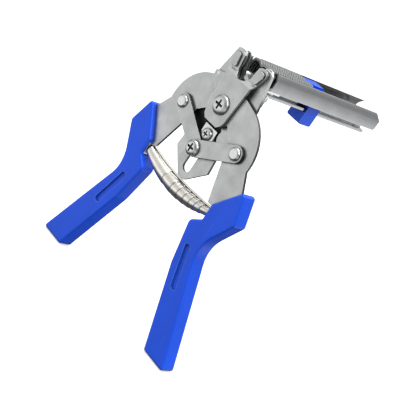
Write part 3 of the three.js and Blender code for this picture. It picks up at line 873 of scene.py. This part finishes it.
def return_spring():
    """Double volute spring and its guide strip, which shorten as the tool closes."""
    low, high = box("spring_outer")
    inner_low, inner_high = box("spring_inner")
    wide = strip_turns(low.x, inner_low.x - 0.03, WIDE_RIMS, WIDE_LIP)
    outer = scaled(sleeve(wide, WIDE_BORE), "spring_wide_turns")
    narrow = strip_turns(inner_low.x, inner_high.x, NARROW_RIMS, NARROW_LIP)
    inner = scaled(sleeve(narrow, NARROW_BORE), "spring_narrow_turns")
    strip = scaled(spring_strip(low.x, inner_high.x), "spring_guide_strip")
    for made, nodes in ((outer, ["spring_outer"]), (inner, ["spring_inner"]), (strip, [])):
        dress(made, "return_spring", "spring_steel", *nodes, smooth=25)
        made.modifiers.clear()
        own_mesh(made)


# ---------------------------------------------------------- clips and magazine


def clip_outline():
    """Counter-clockwise M outline of one clip, with its rounded shoulders."""
    low, high = box("clip_stick")
    half, foot, top = high.x, low.z, high.z
    wall = 1.6
    outside = [
        (half, foot, 0.3), (half, top - 4.2, 1.2), (half - 1.7, top - 0.2, 1.4),
        (2.2, top, 1.2),
    ]
    inside = [
        (2.5, top - 1.7, 0.7), (half - 2.8, top - 1.8, 0.8), (half - wall, top - 4.6, 0.8),
        (half - wall, foot, 0.3),
    ]
    return (
        outside + [(0, top - 1.6, 1.0)] + mirrored(outside)
        + mirrored(inside) + [(0, top - 3.6, 1.0)] + inside
    )


def one_clip(y, end):
    """A bmesh of the clip whose wire starts at y and ends at most at end."""
    back = min(y + CLIP_WIRE, end)
    return moulding(clip_outline(), y, back, WIRE_EDGE, WIRE_EDGE, 3, 2)


def clips():
    """The first clip, and the rest of the stick as one piece."""
    front = box("front_clip")[0].y
    back = box("clip_stick")[1].y
    first = scaled(one_clip(front, back), "front_wire_clip")
    dress(first, "frame", "clip_steel", "front_clip")
    bm = bmesh.new()
    for k in range(1, int((back - front) / CLIP_PITCH) + 1):
        one = one_clip(front + CLIP_PITCH * k, back)
        mesh = bpy.data.meshes.new("clip")
        one.to_mesh(mesh)
        one.free()
        bm.from_mesh(mesh)
        bpy.data.meshes.remove(mesh)
    dress(scaled(bm, "wire_clip_stick"), "frame", "clip_steel", "clip_stick")


def magazine():
    eased_copy("magazine_channel", "magazine_channel_sheet", "magazine_steel", SHEET_EDGE)
    eased_copy("lower_rail", "lower_rail_section", "magazine_steel", RAIL_EDGE)
    eased_copy("magazine_bracket", "magazine_bracket_sheet", "plate_steel", SHEET_EDGE)


def pusher():
    eased_copy("pusher", "pusher_moulding", "blue_plastic", PLASTIC_EDGE, 30)


# ------------------------------------------------------------ camera and light


def camera():
    data = bpy.data.cameras.new("product_camera")
    data.lens = CAMERA_LENS
    data.sensor_width = SENSOR
    data.clip_start = 0.01
    data.clip_end = 100
    made = added("product_camera", data)
    look = (CAMERA_AIM - CAMERA_AT).to_track_quat("-Z", "Y").to_matrix().to_4x4()
    roll = Matrix.Rotation(math.radians(CAMERA_ROLL), 4, "Z")
    made.matrix_world = Matrix.Translation(CAMERA_AT) @ look @ roll
    bpy.context.scene.camera = made


def floor():
    """Pale floor under the handle ends, hidden from reflections."""
    level = cad_box[0].z - FLOOR_GAP
    bm = bmesh.new()
    corners = [
        (x * FLOOR_REACH, y * FLOOR_REACH) for x, y in ((-1, -1), (1, -1), (1, 1), (-1, 1))
    ]
    bm.faces.new([bm.verts.new((x, y, level)) for x, y in corners])
    mesh = bpy.data.meshes.new("floor")
    bm.to_mesh(mesh)
    bm.free()
    made = added("floor", mesh)
    s = Shader("pale_floor")
    speckle = s.noise(40, detail=2)
    s.surface.inputs["Emission Color"].default_value = (1, 1, 1, 1)
    s.surface.inputs["Emission Strength"].default_value = FLOOR_GLOW
    s.surface.inputs["Specular IOR Level"].default_value = 0.0
    base = s.mix(speckle, (0.86, 0.86, 0.86), (0.9, 0.9, 0.9))
    mesh.materials.append(s.finish(base, s.ramp(speckle, 0, 1, 0.8, 0.9), 0.0))
    made.visible_glossy = False
    made.visible_diffuse = False


def sky():
    """Soft studio surround: bright above, grey round the sides, dark below."""
    world = bpy.data.worlds.new("studio")
    bpy.context.scene.world = world
    world.use_nodes = True
    tree = world.node_tree
    direction = tree.nodes.new("ShaderNodeTexCoord").outputs["Generated"]
    height = tree.nodes.new("ShaderNodeSeparateXYZ")
    tree.links.new(direction, height.inputs["Vector"])
    spread = tree.nodes.new("ShaderNodeMapRange")
    spread.inputs["From Min"].default_value = -1
    spread.inputs["From Max"].default_value = 1
    tree.links.new(height.outputs["Z"], spread.inputs["Value"])
    ramp = tree.nodes.new("ShaderNodeValToRGB")
    elements = ramp.color_ramp.elements
    while len(elements) < len(SKY_LEVELS):
        elements.new(0.5)
    for element, (position, level) in zip(elements, SKY_LEVELS):
        element.position = position
        element.color = (level, level, level, 1)
    tree.links.new(spread.outputs["Result"], ramp.inputs["Fac"])
    behind = tree.nodes.new("ShaderNodeMapRange")
    behind.inputs["From Min"].default_value = -0.3
    behind.inputs["From Max"].default_value = 0.6
    behind.inputs["To Min"].default_value = SKY_FRONT
    behind.inputs["To Max"].default_value = SKY_BEHIND
    tree.links.new(height.outputs["Y"], behind.inputs["Value"])
    background = tree.nodes["Background"]
    tree.links.new(ramp.outputs["Color"], background.inputs["Color"])
    tree.links.new(behind.outputs["Result"], background.inputs["Strength"])


def lights():
    for name, place, size, power in SOFTBOXES:
        data = bpy.data.lights.new(name, "AREA")
        data.shape = "SQUARE"
        data.size = size
        data.energy = power
        made = added(name, data)
        made.location = place
        look = Vector(LIGHT_AIM) - Vector(place)
        made.rotation_euler = look.to_track_quat("-Z", "Y").to_euler()


# ------------------------------------------------------------------- assembly

plates()
front_plate()
cross_screws()
link_pin("left", "left_link")
link_pin("right", "right_link")
small_fasteners()
grip("left")
grip("right")
return_spring()
clips()
magazine()
pusher()
camera()
sky()
floor()
lights()
bpy.context.scene.view_settings.view_transform = "Standard"
